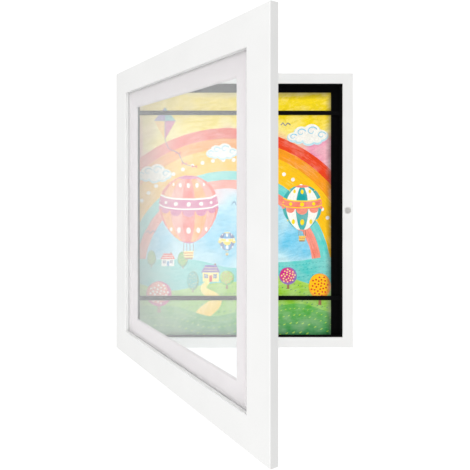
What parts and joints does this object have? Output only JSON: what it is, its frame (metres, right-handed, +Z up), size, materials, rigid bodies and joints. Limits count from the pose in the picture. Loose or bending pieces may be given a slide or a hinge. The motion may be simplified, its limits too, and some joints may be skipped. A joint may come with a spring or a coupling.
{
  "type": "front-opening art frame",
  "caption": "Front-opening wall frame for drawings: a shallow black-lined box with elastic straps and a hinged, glazed and matted door held by a magnet.",
  "frame": {"origin": "middle of the back panel's wall side", "axes": "+Z up, +X to the right as seen from the front, +Y towards the wall; the door is open 60 degrees at rest"},
  "size_m": [0.3165, 0.2853, 0.368],
  "materials": {
    "lacquer": "satin white lacquer on fibreboard",
    "fibreboard": "raw fibreboard",
    "felt": "black felt",
    "paper": "drawing paper painted in matt colours",
    "elastic": "black woven elastic",
    "magnet": "nickel plated magnet",
    "steel": "zinc plated steel",
    "rubber": "grey rubber",
    "acrylic": "clear acrylic sheet",
    "card": "white mat board"
  },
  "bodies": {
    "box": {"box_rail_top": "lacquer", "box_rail_bottom": "lacquer", "box_stile_left": "lacquer", "box_stile_right": "lacquer", "back_panel": "fibreboard", "back_lining": "felt", "liner_top": "felt", "liner_bottom": "felt", "liner_left": "felt", "liner_right": "felt", "art_sheet": "paper", "strap_upper": "elastic", "strap_lower": "elastic", "strap_staple_upper_left": "steel", "strap_staple_upper_right": "steel", "strap_staple_lower_left": "steel", "strap_staple_lower_right": "steel", "magnet_disc": "magnet", "hinge_leaf_box_upper": "steel", "hinge_leaf_box_lower": "steel", "hinge_pin_upper": "steel", "hinge_pin_lower": "steel", "hinge_screw_box_1": "steel", "hinge_screw_box_2": "steel", "hinge_screw_box_3": "steel", "hinge_screw_box_4": "steel", "hanger_top": "steel", "hanger_side": "steel", "hanger_nail_1": "steel", "hanger_nail_2": "steel", "hanger_nail_3": "steel", "hanger_nail_4": "steel", "panel_nail_1": "steel", "panel_nail_2": "steel", "panel_nail_3": "steel", "panel_nail_4": "steel", "wall_bumper_left": "rubber", "wall_bumper_right": "rubber"},
    "door": {"door_rail_top": "lacquer", "door_rail_bottom": "lacquer", "door_stile_hinge": "lacquer", "door_stile_free": "lacquer", "acrylic_pane": "acrylic", "mat_board": "card", "hinge_leaf_door_upper": "steel", "hinge_leaf_door_lower": "steel", "hinge_screw_door_1": "steel", "hinge_screw_door_2": "steel", "hinge_screw_door_3": "steel", "hinge_screw_door_4": "steel", "strike_screw": "steel", "turn_screw_top": "steel", "turn_screw_bottom": "steel", "turn_screw_hinge_side": "steel", "turn_screw_free_side": "steel"},
    "turn_button_top": {"turn_button_top": "steel"},
    "turn_button_bottom": {"turn_button_bottom": "steel"},
    "turn_button_hinge_side": {"turn_button_hinge_side": "steel"},
    "turn_button_free_side": {"turn_button_free_side": "steel"}
  },
  "joints": [
    {"name": "door_hinge", "type": "hinge", "parent": "box", "child": "door", "pos_m": [-0.1563, -0.0123, 0], "axis": [0, 0, -1], "range_deg": [-60, 120]},
    {"name": "turn_top", "type": "hinge", "parent": "door", "child": "turn_button_top", "pos_m": [-0.07877, -0.14658, 0.1627], "axis": [0.866, 0.5, 0], "range_deg": [0, 90]},
    {"name": "turn_bottom", "type": "hinge", "parent": "door", "child": "turn_button_bottom", "pos_m": [-0.07877, -0.14658, -0.1627], "axis": [0.866, 0.5, 0], "range_deg": [0, 90]},
    {"name": "turn_hinge_side", "type": "hinge", "parent": "door", "child": "turn_button_hinge_side", "pos_m": [-0.14575, -0.03057, 0], "axis": [0.866, 0.5, 0], "range_deg": [0, 90]},
    {"name": "turn_free_side", "type": "hinge", "parent": "door", "child": "turn_button_free_side", "pos_m": [-0.0118, -0.26258, 0], "axis": [0.866, 0.5, 0], "range_deg": [0, 90]}
  ]
}
